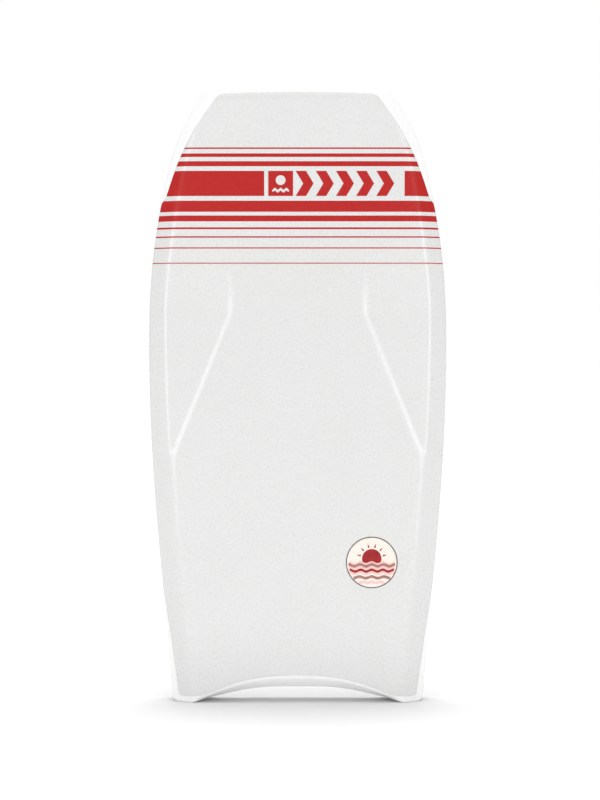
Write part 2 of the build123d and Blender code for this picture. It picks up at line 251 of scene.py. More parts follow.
def deck_surface(x, z):
    """Where the deck's surface is, from the nose to the tail bevel."""
    level = DECK_Y - arc_drop(z - DECK_BEND_Z, NOSE_CROWN_Z - DECK_BEND_Z, DECK_NOSE_LIFT)
    inset = half_width(z) - np.abs(x)
    past_chine = chine_inset(z) - inset
    chine = CHINE_SLOPE * softplus(past_chine, CREST_ROUNDING)
    chine += CROWN_SLOPE * softplus(past_chine + CROWN_WIDTH, CROWN_ROUNDING)

    bevel = np.maximum(tail_bevel(x), BEVEL_LEAST)
    under_crest = crescent_z(x) + bevel - z
    tail = TAIL_BEVEL_DEPTH / bevel * softplus(under_crest, BEVEL_ROUNDING)
    tail *= 1 - smoothstep(*BEVEL_FADE, np.abs(x))

    past_crest = z - (nose_z(x) - NOSE_BEVEL_INSET)
    nose = NOSE_BEVEL_DROP / NOSE_BEVEL_INSET * softplus(past_crest, BEVEL_ROUNDING)

    outside = -inside_distance(np.abs(x), z, RECESS_FLOOR)
    wall = RECESS_DEPTH * RECESS_WALL_SLOPE
    recess = (softplus(wall - outside, RECESS_ROUNDING) - softplus(-outside, RECESS_ROUNDING)) / wall
    recess *= RECESS_DEPTH * (1 - smoothstep(RECESS_RAMP_Z - RECESS_RAMP_LEAD, RECESS_END_Z, z))
    return level - UNCUT + joined(chine, tail, nose, recess)


def plain_slick(z):
    """Where the slick's surface is, away from its channels."""
    nose = arc_drop(z - SLICK_BEND_Z, NOSE_CROWN_Z - SLICK_BEND_Z, SLICK_NOSE_LIFT)
    return SLICK_Y - nose - arc_drop(TAIL_KICK_Z - z, TAIL_KICK_Z, TAIL_KICK)


def slick_surface(x, z):
    """Where the slick's surface is."""
    rise = (CHANNEL_DEPTH + TAIL_KICK) / CHANNEL_LENGTH * (z - CHANNEL_START_Z)
    floor = SLICK_Y - TAIL_KICK - CHANNEL_DEPTH + rise
    from_floor = np.abs(np.abs(x) - CHANNEL_X) - CHANNEL_FLOOR / 2
    groove = floor + CHANNEL_WALL_SLOPE * softplus(from_floor, CHANNEL_FLOOR_ROUNDING)
    plain = plain_slick(z)
    return plain - softplus(plain - groove, CHANNEL_EDGE_ROUNDING)


def rail_seam(_x, z):
    """Where the two rails meet."""
    return plain_slick(z) - LOWER_RAIL


# ---- outlines: four sides each, from one corner's middle to the next one's ----
CORNER_HANDLE = 0.55  # handle of a corner's curve, as a share of the length it cuts off
CORNER_STEPS = 16
OVERSHOOT = 5.0  # the sides are drawn this far past the ends before they are trimmed
SIDE_SAMPLES = 4001
TAIL_SAMPLES = 1501
NOSE_SAMPLES = 1001


def cut_at(path, distance):
    """The path without its last stretch of that length."""
    steps = np.hypot(*np.diff(path, axis=0).T)
    left = np.cumsum(steps[::-1])[::-1]
    keep = path[:-1][left > distance]
    i = len(keep) - 1
    share = (left[i] - distance) / steps[i]
    return np.vstack([keep, path[i] + share * (path[i + 1] - path[i])])


def rounded_corner(first, second, cut):
    """Joins two paths that meet at a corner by a curve, and parts them at its middle."""
    first = cut_at(first, cut)
    second = cut_at(second[::-1], cut)[::-1]
    start, end = first[-1], second[0]
    out = first[-1] - first[-2]
    back = second[0] - second[1]
    out /= np.hypot(*out)
    back /= np.hypot(*back)
    handle = CORNER_HANDLE * cut
    t = np.linspace(0, 1, CORNER_STEPS + 1)[:, None]
    arc = (1 - t) ** 3 * start + 3 * (1 - t) ** 2 * t * (start + handle * out)
    arc += 3 * (1 - t) * t**2 * (end + handle * back) + t**3 * end
    middle = CORNER_STEPS // 2
    return np.vstack([first[:-1], arc[: middle + 1]]), np.vstack([arc[middle:], second[1:]])


def outline(side, tail, nose, peg_cut, nose_cut):
    """Right side, half tail and half nose of an outline, rounded at its corners.

    Each is given as a function: side(z) for x, tail(x) and nose(x) for z.
    """
    z = np.linspace(-OVERSHOOT, NOSE_CROWN_Z + OVERSHOOT, SIDE_SAMPLES)
    up = np.column_stack([side(z), z])
    low = up[:, 1] < tail(up[:, 0])
    high = up[:, 1] > nose(up[:, 0])
    up = up[~low & ~high]
    corner_tail, corner_nose = up[0], up[-1]
    x = np.linspace(0, corner_tail[0], TAIL_SAMPLES)
    along_tail = np.column_stack([x, tail(x)])
    x = np.linspace(corner_nose[0], 0, NOSE_SAMPLES)
    along_nose = np.column_stack([x, nose(x)])
    along_tail, up = rounded_corner(along_tail, up, peg_cut)
    up, along_nose = rounded_corner(up, along_nose, nose_cut)
    return up, along_tail, along_nose


def band_side(z):
    """Half width of the deck skin at a height: the outline less the bumpers."""
    nose = np.interp(z, *zip(*NOSE_BAND))
    tail = np.interp(z, *zip(*TAIL_BAND))
    band = np.where(z >= NOSE_BAND_Z, nose, 0)
    return half_width(z) - np.where(z <= TAIL_BAND_Z, tail, band)


def band_tail(x):
    """Lower edge of the deck skin: above the bevel's crest, then over the bumper's foot."""
    land = crescent_z(x) + tail_bevel(x) + TAIL_LAND
    pad = np.interp(np.abs(x), *zip(*TAIL_PAD))
    return np.where(np.abs(x) < TAIL_PAD_X, land, pad)


def slick_tail(x):
    """Lower edge of the slick: the outline itself, then over the bumper's foot."""
    return np.where(np.abs(x) <= TAIL_PAD_X, crescent_z(x), band_tail(x))


def band_nose(x):
    """Upper edge of the deck skin."""
    return nose_z(x) - NOSE_BAND_CROWN


OUTER_CUTS = (9.0, 15.0)  # how much the corners at peg and nose take off each side
INNER_CUTS = (4.0, 8.0)
OUTER = outline(half_width, crescent_z, nose_z, *OUTER_CUTS)
INNER = outline(band_side, band_tail, band_nose, *INNER_CUTS)
SLICK_OUTLINE = outline(band_side, slick_tail, band_nose, *INNER_CUTS)


def spread(marks):
    """Stations from (position, step after it) marks, the last of them the end."""
    stations = []
    for (low, step), (high, _) in zip(marks, marks[1:]):
        count = max(1, round((high - low) / step))
        stations += list(np.linspace(low, high, count, endpoint=False))
    return np.array(stations + [marks[-1][0]])


def stretch(stations, low, high, new_low, new_high):
    """Moves the stations below low and above high so that the ends meet new_low and new_high."""
    s = stations.copy()
    below, above = stations < low, stations > high
    s[below] = low - (low - stations[below]) * (low - new_low) / (low - stations[0])
    s[above] = high + (stations[above] - high) * (new_high - high) / (stations[-1] - high)
    return s


class Loop:
    """An outline sampled at stations up its sides and across its ends."""

    def __init__(self, parts, up_marks, across_marks):
        up, tail, nose = parts
        z = stretch(spread(up_marks), TAIL_BAND_Z, NOSE_BAND_Z, up[0, 1], up[-1, 1])
        self.right = np.column_stack([np.interp(z, up[:, 1], up[:, 0]), z])
        self.left = self.right * (-1, 1)
        half = spread(across_marks)
        x = stretch(half, -1.0, TAIL_PAD_X, -1.0, tail[-1, 0])
        low = np.column_stack([x, np.interp(x, tail[:, 0], tail[:, 1])])
        self.tail = np.vstack([low[:0:-1] * (-1, 1), low])
        x = half / half[-1] * nose[0, 0]
        high = np.column_stack([x, np.interp(x, nose[::-1, 0], nose[::-1, 1])])
        self.nose = np.vstack([high[:0:-1] * (-1, 1), high])

    def around(self):
        """The whole outline, anticlockwise from the left peg, as the deck shows it."""
        return np.vstack([self.tail[:-1], self.right[:-1], self.nose[:0:-1], self.left[:0:-1]])

    def inwards(self):
        """Unit vectors that point into the board at each point of around()."""
        ring = self.around()
        run = np.roll(ring, -1, axis=0) - np.roll(ring, 1, axis=0)
        run /= np.hypot(*run.T)[:, None]
        return np.column_stack([-run[:, 1], run[:, 0]])

    def inset(self, distance):
        """A loop further in by a distance, which may differ from point to point."""
        ring = self.around() + self.inwards() * np.reshape(distance, (-1, 1))
        across, up = len(self.tail) - 1, len(self.right) - 1
        closed = np.vstack([ring, ring[:1]])
        new = Loop.__new__(Loop)
        new.tail = closed[: across + 1]
        new.right = closed[across : across + up + 1]
        new.nose = closed[across + up : 2 * across + up + 1][::-1]
        new.left = closed[2 * across + up :][::-1]
        return new

    def grid(self):
        """Points over the whole outline, rows from tail to nose and columns from left to right."""
        u = (self.tail[:, 0] - self.tail[0, 0]) / (self.tail[-1, 0] - self.tail[0, 0])
        t = (self.right[:, 1] - self.right[0, 1]) / (self.right[-1, 1] - self.right[0, 1])
        u, t = u[None, :, None], t[:, None, None]
        ends = (1 - t) * self.tail[None] + t * self.nose[None]
        sides = (1 - u) * self.left[:, None] + u * self.right[:, None]
        corners = (1 - t) * ((1 - u) * self.tail[0] + u * self.tail[-1])
        corners = corners + t * ((1 - u) * self.nose[0] + u * self.nose[-1])
        return ends + sides - corners


def edge_indices(rows, columns):
    """Grid indices of the border, in the order of around()."""
    low = [(0, j) for j in range(columns - 1)]
    right = [(i, columns - 1) for i in range(rows - 1)]
    high = [(rows - 1, j) for j in range(columns - 1, 0, -1)]
    left = [(i, 0) for i in range(rows - 1, 0, -1)]
    return [i * columns + j for i, j in low + right + high + left]


# ---- meshes ----
ROUND_STEPS = (30.0, 60.0, 90.0)  # degrees round an edge at which it gets a row of points
EDGE_SHARE = 0.8  # a rounded edge takes at most this share of a strip's width


def make_object(name, points, faces, sharp=35.0):
    """A smooth-shaded object from points in millimetres."""
    mesh = bpy.data.meshes.new(name)
    mesh.from_pydata((np.asarray(points) * MM).tolist(), [], faces)
    mesh.validate()
    work = bmesh.new()
    work.from_mesh(mesh)
    bmesh.ops.remove_doubles(work, verts=work.verts, dist=1e-7)
    bmesh.ops.dissolve_degenerate(work, edges=work.edges, dist=1e-8)
    bmesh.ops.recalc_face_normals(work, faces=work.faces)
    work.to_mesh(mesh)
    work.free()
    mesh.shade_smooth()
    mesh.set_sharp_from_angle(angle=math.radians(sharp))
    obj = bpy.data.objects.new(name, mesh)
    bpy.context.scene.collection.objects.link(obj)
    return obj


def sheet_solid(name, loop, surface, thickness, rounding):
    """A closed sheet: one face on the surface, a rounded rim, and a face behind it.

    thickness is signed along +Y, and rounding may differ round the rim.
    """
    rounding = np.broadcast_to(rounding, len(loop.around())).astype(float)
    inner = loop.inset(rounding)
    grid = inner.grid()
    rows, columns = grid.shape[:2]
    flat = grid.reshape(-1, 2)
    x, z = flat.T
    y = surface(x, z)
    front = np.column_stack([x, y, z])
    behind = np.column_stack([x, y + thickness, z])
    toward = math.copysign(1, thickness)
    rings = []
    rim_y = surface(*loop.around().T)
    start_y = surface(*inner.around().T)
    for angle in ROUND_STEPS:
        share = math.sin(math.radians(angle))
        fall = 1 - math.cos(math.radians(angle))
        ring = inner.around() + (loop.around() - inner.around()) * share
        ring_y = start_y + (rim_y - start_y) * share + toward * rounding * fall
        rings.append(np.column_stack([ring[:, 0], ring_y, ring[:, 1]]))
    last = rings[-1].copy()
    last[:, 1] = rim_y + thickness
    rings.append(last)
    points = np.vstack([front, behind] + rings)
    cell = np.arange(rows * columns).reshape(rows, columns)
    quads = np.stack([cell[:-1, :-1], cell[:-1, 1:], cell[1:, 1:], cell[1:, :-1]], -1).reshape(-1, 4)
    faces = quads.tolist() + (quads[:, ::-1] + rows * columns).tolist()
    border = edge_indices(rows, columns)
    count = len(border)
    chains = [border]
    for k in range(len(rings)):
        base = 2 * rows * columns + k * count
        chains.append(list(range(base, base + count)))
    chains.append([i + rows * columns for i in border])
    for a, b in zip(chains, chains[1:]):
        for i in range(count):
            j = (i + 1) % count
            faces.append([a[i], b[i], b[j], a[j]])
    return make_object(name, points, faces)


def band_solid(name, outer, inner, low, high, low_edge, high_edge, lanes):
    """A closed strip between two paths and two surfaces, with its outer edges rounded.

    It has that many lanes of faces across each of the two surfaces.
    """
    across = inner - outer
    width = np.hypot(*across.T)[:, None]
    across = across / width
    low_edge = np.minimum(low_edge, width[:, 0] * EDGE_SHARE)
    high_edge = np.minimum(high_edge, width[:, 0] * EDGE_SHARE)
    sections = []

    def add(distance, surface, shift):
        at = outer + across * np.reshape(distance, (-1, 1))
        sections.append(np.column_stack([at[:, 0], surface(*at.T) + shift, at[:, 1]]))

    for share in np.linspace(1, 0, lanes + 1):
        add(low_edge + share * (width[:, 0] - low_edge), low, 0)
    for angle in ROUND_STEPS:
        tilt = math.radians(angle)
        add(low_edge * (1 - math.sin(tilt)), low, -low_edge * (1 - math.cos(tilt)))
    for angle in reversed(ROUND_STEPS):
        tilt = math.radians(angle)
        add(high_edge * (1 - math.sin(tilt)), high, high_edge * (1 - math.cos(tilt)))
    for share in np.linspace(0, 1, lanes + 1):
        add(high_edge + share * (width[:, 0] - high_edge), high, 0)
    points = np.stack(sections, 1)
    stations, ring = points.shape[:2]
    faces = []
    for i in range(stations - 1):
        for k in range(ring):
            j = (k + 1) % ring
            faces.append([i * ring + k, i * ring + j, (i + 1) * ring + j, (i + 1) * ring + k])
    faces.append(list(range(ring)))
    faces.append(list(range((stations - 1) * ring, stations * ring))[::-1])
    return make_object(name, points.reshape(-1, 3), faces)


# ---- the outside pieces ----
# Spacing of the mesh up the board and from its middle outwards: (position, step after it).
UP_MARKS = [(0.0, 2.0), (70.0, 3.5), (200.0, 4.4), (870.0, 4.0), (1030.0, 2.0), (1066.0, 2.0)]
ACROSS_MARKS = [(0.0, 3.7), (160.0, 3.0), (188.0, 2.2), (219.0, 2.2)]
COARSE_UP = [(0.0, 6.0), (200.0, 12.0), (870.0, 8.0), (1066.0, 6.0)]
COARSE_ACROSS = [(0.0, 6.0), (160.0, 3.0), (166.0, 5.0), (219.0, 5.0)]

SKIN_RIM = 2.0  # roundings of the sheets' edges
SKIN_SEAM = 0.7
SLICK_RIM = 0.5
SEAM_EDGE = 1.0  # and of the strips' edges, at a seam and on the outside
FACE_EDGE = 2.0
TOUCHING = 0.05  # points nearer than this lie on both loops
NEARLY = 0.01

rim = Loop(OUTER, UP_MARKS, ACROSS_MARKS)
skin_edge = Loop(INNER, UP_MARKS, ACROSS_MARKS)


def behind_skin(x, z):
    """The back of the deck skin."""
    return deck_surface(x, z) + SKIN


def before_slick_sheet(x, z):
    """The front of the slick."""
    return slick_surface(x, z) - SLICK


on_rim = np.hypot(*(rim.around() - skin_edge.around()).T) < TOUCHING
skin_rounding = np.where(on_rim, SKIN_RIM, SKIN_SEAM)
deck = sheet_solid("deck_skin_foam", skin_edge, deck_surface, SKIN, skin_rounding)

slick_edge = Loop(SLICK_OUTLINE, COARSE_UP, COARSE_ACROSS)
slick = sheet_solid("slick_sheet", slick_edge, slick_surface, -SLICK, SLICK_RIM)


def side_run(low, high):
    """Which of the rim's side stations lie between two heights."""
    z = skin_edge.right[:, 1]
    return (z >= low - NEARLY) & (z <= high + NEARLY)


made = {"deck_skin": deck, "bottom_slick": slick}
rails = side_run(TAIL_BAND_Z, NOSE_BAND_Z)
for hand, side in (("right", 1), ("left", -1)):
    outer = rim.right[rails] * (side, 1)
    inner = outer - (side * RAIL_WIDTH, 0)
    paths = (outer, inner)
    made[f"rail_upper_{hand}"] = band_solid(
        f"upper_rail_{hand}", *paths, rail_seam, behind_skin, SEAM_EDGE, SEAM_EDGE, lanes=1
    )
    made[f"rail_lower_{hand}"] = band_solid(
        f"lower_rail_{hand}", *paths, before_slick_sheet, rail_seam, SEAM_EDGE, SEAM_EDGE, lanes=1
    )

around_nose = side_run(NOSE_BAND_Z, NOSE_CROWN_Z)


def nose_path(loop):
    """A loop's stretch round the nose, from the right rail's end to the left one's."""
    right = loop.right[around_nose]
    return np.vstack([right[:-1], loop.nose[:0:-1], loop.left[around_nose][::-1]])


paths = (nose_path(rim), nose_path(skin_edge))
made["nose_bumper_upper"] = band_solid(
    "upper_nose_bumper", *paths, rail_seam, deck_surface, SEAM_EDGE, FACE_EDGE, lanes=5
)
made["nose_bumper_lower"] = band_solid(
    "lower_nose_bumper", *paths, slick_surface, rail_seam, FACE_EDGE, SEAM_EDGE, lanes=5
)

around_peg = side_run(0, TAIL_BAND_Z)
for hand, side in (("right", 1), ("left", -1)):
    paths = []
    for loop in (rim, skin_edge):
        foot = loop.tail[rim.tail[:, 0] >= TAIL_PAD_X - NEARLY]
        paths.append(np.vstack([foot[:-1], loop.right[around_peg]]) * (side, 1))
    made[f"tail_bumper_{hand}"] = band_solid(
        f"tail_peg_bumper_{hand}", *paths, slick_surface, deck_surface, FACE_EDGE, FACE_EDGE, lanes=4
    )

between = np.abs(rim.tail[:, 0]) <= TAIL_PAD_X + NEARLY
made["tail_rail"] = band_solid(
    "crescent_rail",
    rim.tail[between],
    skin_edge.tail[between],
    before_slick_sheet,
    deck_surface,
    SEAM_EDGE,
    FACE_EDGE,
    lanes=10,
)


# ---- materials ----
def shader_of(material):
    return material.node_tree.nodes["Principled BSDF"]


def new_material(name, colour, roughness, **settings):
    """A material whose shader's own sockets hold what is the same all over."""
    material = bpy.data.materials.new(name)
    material.use_nodes = True
    shader = shader_of(material)
    shader.inputs["Base Color"].default_value = (*colour, 1)
    shader.inputs["Roughness"].default_value = roughness
    for socket, value in settings.items():
        shader.inputs[socket.replace("_", " ")].default_value = value
    return material


def add_node(material, kind, **values):
    """A node with its properties or its inputs set."""
    node = material.node_tree.nodes.new(kind)
    for key, value in values.items():
        if hasattr(node, key):
            setattr(node, key, value)
        else:
            node.inputs[key.replace("_", " ")].default_value = value
    return node


def link(material, source, target):
    material.node_tree.links.new(source, target)


def coordinates(material, stretched=(1, 1, 1), turn=(0, 0, 0)):
    """The object's own coordinates, in metres, stretched and turned."""
    place = add_node(material, "ShaderNodeTexCoord")
    mapping = add_node(material, "ShaderNodeMapping")
    mapping.inputs["Scale"].default_value = stretched
    mapping.inputs["Rotation"].default_value = turn
    link(material, place.outputs["Object"], mapping.inputs["Vector"])
    return mapping.outputs["Vector"]


def noise(material, scale, detail=3.0, stretched=(1, 1, 1)):
    texture = add_node(material, "ShaderNodeTexNoise", Scale=scale, Detail=detail)
    link(material, coordinates(material, stretched), texture.inputs["Vector"])
    return texture.outputs["Fac"]


def cells(material, scale, feature):
    texture = add_node(material, "ShaderNodeTexVoronoi", feature=feature, Scale=scale)
    link(material, coordinates(material), texture.inputs["Vector"])
    return texture.outputs["Distance"]


def lines(material, scale, degrees):
    """Straight parallel lines over the deck's plane, turned by an angle."""
    texture = add_node(material, "ShaderNodeTexWave", Scale=scale)
    link(material, coordinates(material, turn=(0, math.radians(degrees), 0)), texture.inputs["Vector"])
    return texture.outputs["Fac"]


def ramp(material, source, stops):
    """Colours along a value: stops are (position, colour)."""
    node = add_node(material, "ShaderNodeValToRGB")
    elements = node.color_ramp.elements
    while len(elements) < len(stops):
        elements.new(1.0)
    for element, (position, colour) in zip(elements, stops):
        element.position = position
        element.color = (*colour, 1)
    link(material, source, node.inputs["Fac"])
    return node.outputs["Color"]


def spread_value(material, source, low, high):
    """A texture's 0 to 1 as low to high."""
    node = add_node(material, "ShaderNodeMapRange")
    node.inputs["To Min"].default_value = low
    node.inputs["To Max"].default_value = high
    link(material, source, node.inputs["Value"])
    return node.outputs["Result"]


def set_colour(material, colour):
    link(material, colour, shader_of(material).inputs["Base Color"])


def set_roughness(material, value):
    link(material, value, shader_of(material).inputs["Roughness"])


def bump(material, *layers):
    """Bumps on top of each other: layers are (height, depth in metres)."""
    normal = None
    for height, depth in layers:
        node = add_node(material, "ShaderNodeBump", Distance=depth, Strength=1.0)
        link(material, height, node.inputs["Height"])
        if normal:
            link(material, normal, node.inputs["Normal"])
        normal = node.outputs["Normal"]
    link(material, normal, shader_of(material).inputs["Normal"])


def foam_skin(name, pale, shade, roughness, pebble, depth):
    """Closed-cell foam with a heat-sealed skin: fine pebbles and slow waves."""
    material = new_material(name, pale, roughness, Specular_IOR_Level=0.62)
    set_colour(material, ramp(material, noise(material, 9.0, 4.0), [(0.3, shade), (0.7, pale)]))
    smoothest, roughest = roughness - 0.06, roughness + 0.08
    set_roughness(material, spread_value(material, noise(material, 260.0), smoothest, roughest))
    bump(
        material,
        (noise(material, 14.0, 1.0), 0.0004),
        (cells(material, pebble, "SMOOTH_F1"), depth),
        (noise(material, pebble * 3, 2.0), depth * 0.4),
    )
    return material


deck_foam = foam_skin(
    "deck_foam_skin", (0.765, 0.765, 0.76), (0.755, 0.755, 0.75), 0.27, pebble=900.0, depth=0.000004
)
rail_foam = foam_skin(
    "rail_foam_skin", (0.83, 0.83, 0.82), (0.80, 0.80, 0.79), 0.34, pebble=1100.0, depth=0.00003
)
bumper_foam = foam_skin(
    "bumper_foam_skin", (0.975, 0.975, 0.97), (0.96, 0.96, 0.955), 0.34, pebble=1000.0, depth=0.00003
)

MESH_SCALE = 17.0  # lines of the net, and of its faint print through the slick


def slick_sheet_plastic():
    """Hard, smooth plastic with fine scuffs along the board and the net showing through."""
    material = new_material("slick_plastic", (0.84, 0.845, 0.85), 0.22)
    tint = [(0.3, (0.80, 0.81, 0.82)), (0.7, (0.86, 0.86, 0.86))]
    set_colour(material, ramp(material, noise(material, 5.0, 3.0), tint))
    wear = noise(material, 60.0, 5.0, stretched=(6, 1, 0.25))
    set_roughness(material, spread_value(material, wear, 0.15, 0.32))
    crests = [(0.8, (0, 0, 0)), (1.0, (1, 1, 1))]
    strands = [ramp(material, lines(material, MESH_SCALE, turn), crests) for turn in (45, -45)]
    bump(
        material,
        (strands[0], 0.00002),
        (strands[1], 0.00002),
        (noise(material, 300.0, 4.0, stretched=(5, 1, 0.08)), 0.00001),
        (noise(material, 10.0, 1.0), 0.0005),
    )
    return material


slick_plastic = slick_sheet_plastic()


def ink(name, colour, darker):
    """Screen-printed ink: a thin film with faint mottling over the foam's pebbles."""
    material = new_material(name, colour, 0.38, Specular_IOR_Level=0.25)
    set_colour(material, ramp(material, noise(material, 120.0, 4.0), [(0.3, darker), (0.65, colour)]))
    set_roughness(material, spread_value(material, noise(material, 350.0), 0.32, 0.46))
    bump(material, (cells(material, 800.0, "SMOOTH_F1"), 0.00004))
    return material


red_ink = ink("red_ink", (0.50, 0.017, 0.015), (0.47, 0.014, 0.013))
cream_ink = ink("cream_ink", (0.93, 0.875, 0.80), (0.90, 0.84, 0.76))
pink_ink = ink("pink_ink", (0.93, 0.62, 0.59), (0.90, 0.56, 0.53))
brown_ink = ink("brown_ink", (0.44, 0.225, 0.195), (0.36, 0.17, 0.15))
deep_red_ink = ink("deep_red_ink", (0.40, 0.020, 0.024), (0.30, 0.014, 0.018))
line_ink = ink("line_ink", (0.105, 0.052, 0.058), (0.08, 0.04, 0.045))


# ---- printing on the deck ----
INK_LIFT = 0.12
INK_DEPTH = 0.06
LAYER_LIFT = 0.07  # each layer of ink over another lies this much further out
PRINT_CELL = 7.0  # a flat shape is cut into cells of this size, so that it follows the deck
STRIP_MARGIN = 8.0  # a strip starts from the deck's faces up to this far past its edges
STRIP_REACH = 300.0  # past the board's sides
FACES_FRONT = -0.2  # faces whose normals have at most this much +Y belong to the deck's front


def solid_film(work):
    """Gives an open piece of the deck's surface an ink film's thickness."""
    bmesh.ops.recalc_face_normals(work, faces=work.faces)
    if sum(face.normal.y * face.calc_area() for face in work.faces) > 0:
        bmesh.ops.reverse_faces(work, faces=work.faces)
    work.normal_update()
    lifts = {v: v.normal * INK_LIFT * MM for v in work.verts}
    sinks = {v: v.normal * (INK_LIFT + INK_DEPTH) * MM for v in work.verts}
    top = list(work.faces)
    rim_edges = [(e.verts[0], e.verts[1], e.link_faces[0]) for e in work.edges if e.is_boundary]
    for v, lift in lifts.items():
        v.co += lift
    below = {v: work.verts.new(v.co - sinks[v]) for v in list(lifts)}
    for face in top:
        work.faces.new([below[v] for v in reversed(face.verts)])
    for a, b, face in rim_edges:
        order = list(face.verts)
        if order[(order.index(a) + 1) % len(order)] is not b:
            a, b = b, a
        work.faces.new([b, a, below[a], below[b]])


def printed_strip(name, low_z, high_z, low_x=-STRIP_REACH, high_x=STRIP_REACH):
    """A strip of red ink that lies on the deck between two heights and two widths."""
    work = bmesh.new()
    work.from_mesh(deck.data)
    work.normal_update()
    margin = STRIP_MARGIN * MM
    unwanted = [
        f
        for f in work.faces
        if f.normal.y > FACES_FRONT
        or max(v.co.z for v in f.verts) < low_z * MM - margin
        or min(v.co.z for v in f.verts) > high_z * MM + margin
    ]
    bmesh.ops.delete(work, geom=unwanted, context="FACES")
    for point, direction in (
        ((0, 0, low_z), (0, 0, -1)),
        ((0, 0, high_z), (0, 0, 1)),
        ((low_x, 0, 0), (-1, 0, 0)),
        ((high_x, 0, 0), (1, 0, 0)),
    ):
        bmesh.ops.bisect_plane(
            work,
            geom=work.verts[:] + work.edges[:] + work.faces[:],
            dist=1e-7,
            plane_co=Vector(point) * MM,
            plane_no=direction,
            clear_outer=True,
        )
    solid_film(work)
    mesh = bpy.data.meshes.new(name)
    work.to_mesh(mesh)
    work.free()
    mesh.shade_smooth()
    mesh.set_sharp_from_angle(angle=math.radians(40))
    obj = bpy.data.objects.new(name, mesh)
    bpy.context.scene.collection.objects.link(obj)
    obj.data.materials.append(red_ink)
    return obj


def printed_shape(name, loops, material, layer=0):
    """Flat ink inside closed loops of (x, z) points; a loop inside another is a hole."""
    curve = bpy.data.curves.new(name, "CURVE")
    curve.dimensions = "2D"
    curve.fill_mode = "BOTH"
    for points in loops:
        spline = curve.splines.new("POLY")
        spline.points.add(len(points) - 1)
        for slot, (x, z) in zip(spline.points, points):
            slot.co = (x, z, 0, 1)
        spline.use_cyclic_u = True
    curve.extrude = 0.5  # any thickness: its two sides become the ink's two faces
    holder = bpy.data.objects.new(name, curve)
    bpy.context.scene.collection.objects.link(holder)
    bpy.context.view_layer.update()
    evaluated = holder.evaluated_get(bpy.context.evaluated_depsgraph_get())
    filled = bpy.data.meshes.new_from_object(evaluated)
    bpy.data.objects.remove(holder)
    bpy.data.curves.remove(curve)
    work = bmesh.new()
    work.from_mesh(filled)
    for axis in (0, 1):
        values = [v.co[axis] / PRINT_CELL for v in work.verts]
        for cut in np.arange(math.ceil(min(values)), max(values)) * PRINT_CELL:
            point, direction = Vector((0, 0, 0)), Vector((0, 0, 0))
            point[axis], direction[axis] = cut, 1
            geometry = work.verts[:] + work.edges[:] + work.faces[:]
            bmesh.ops.bisect_plane(work, geom=geometry, dist=1e-4, plane_co=point, plane_no=direction)
    work.to_mesh(filled)
    work.free()
    flat = np.array([v.co for v in filled.vertices])
    x, z, side = flat.T
    lift = np.where(side > 0, INK_LIFT + LAYER_LIFT * layer, -INK_DEPTH)
    faces = [list(p.vertices) for p in filled.polygons]
    bpy.data.meshes.remove(filled)
    obj = make_object(name, np.column_stack([x, deck_surface(x, z) - lift, z]), faces, sharp=30)
    obj.data.materials.append(material)
    return obj


prints = []
# Full-width stripes: the height of each one's middle, and its width.
STRIPES = [
    (964.2, 2.6),
    (952.2, 6.0),
    (937.5, 8.6),
    (864.3, 19.0),
    (843.3, 10.0),
    (826.3, 3.2),
    (811.3, 2.4),
    (792.3, 2.0),
    (766.0, 1.6),
]
for number, (middle, width) in enumerate(STRIPES, 1):
    prints.append(printed_strip(f"stripe_{number}", middle - width / 2, middle + width / 2))
BAND_LOW, BAND_HIGH = 882.0, 925.2
BAND_HEIGHT = BAND_HIGH - BAND_LOW
GAP_LEFT, GAP_RIGHT = -58.0, 185.0
prints.append(printed_strip("wide_band_left", BAND_LOW, BAND_HIGH, high_x=GAP_LEFT))
prints.append(printed_strip("wide_band_right", BAND_LOW, BAND_HIGH, low_x=GAP_RIGHT))


def circle(x, z, radius, count=64):
    """Points round a circle, anticlockwise."""
    turns = np.radians(np.linspace(0, 360, count, endpoint=False))
    return [(x + radius * math.cos(a), z + radius * math.sin(a)) for a in turns]


POINTS_PER_WAVE = 16
TAPER = 0.16  # share of the half length over which an end narrows


def wavy_band(middle, half, low, high, height, waves):
    """A band of water: both edges ripple, and its ends come to a point."""
    xs = np.linspace(-half, half, POINTS_PER_WAVE * waves + 1)
    ripple = height * np.cos(xs / half * math.pi * waves)
    taper = np.sqrt(np.clip((half - np.abs(xs)) / (TAPER * half), 0, 1))
    centre = (low + high) / 2
    thick = (high - low) / 2
    upper = [(middle + x, centre + (thick + r) * t) for x, r, t in zip(xs, ripple, taper)]
    lower = [(middle + x, centre - (thick - r) * t) for x, r, t in zip(xs, ripple, taper)]
    return lower[1:-1] + upper[::-1]


def shifted(points, x, z):
    return [(x + px, z + pz) for px, pz in points]


# A plain sun-and-wave tile and a row of chevrons in the gap of the wide band.
TILE_LEFT, TILE_RIGHT = -51.0, -8.0
TILE_MIDDLE = (TILE_LEFT + TILE_RIGHT) / 2
tile = [(TILE_LEFT, BAND_LOW), (TILE_RIGHT, BAND_LOW), (TILE_RIGHT, BAND_HIGH), (TILE_LEFT, BAND_HIGH)]
disc = circle(TILE_MIDDLE, BAND_LOW + 27.3, 8.5, count=40)
ripple = wavy_band(TILE_MIDDLE, 15.0, BAND_LOW + 7.5, BAND_LOW + 12.5, 1.6, 3)
prints.append(printed_shape("band_tile", [tile, disc, ripple], red_ink))
CHEVRON = [
    (0.0, 0.0),
    (18.0, 0.0),
    (31.0, BAND_HEIGHT / 2),
    (18.0, BAND_HEIGHT),
    (0.0, BAND_HEIGHT),
    (13.0, BAND_HEIGHT / 2),
]
CHEVRON_START, CHEVRON_STEP = -3.5, 34.9
CHEVRONS = 5
row = [shifted(CHEVRON, CHEVRON_START + CHEVRON_STEP * i, BAND_LOW) for i in range(CHEVRONS)]
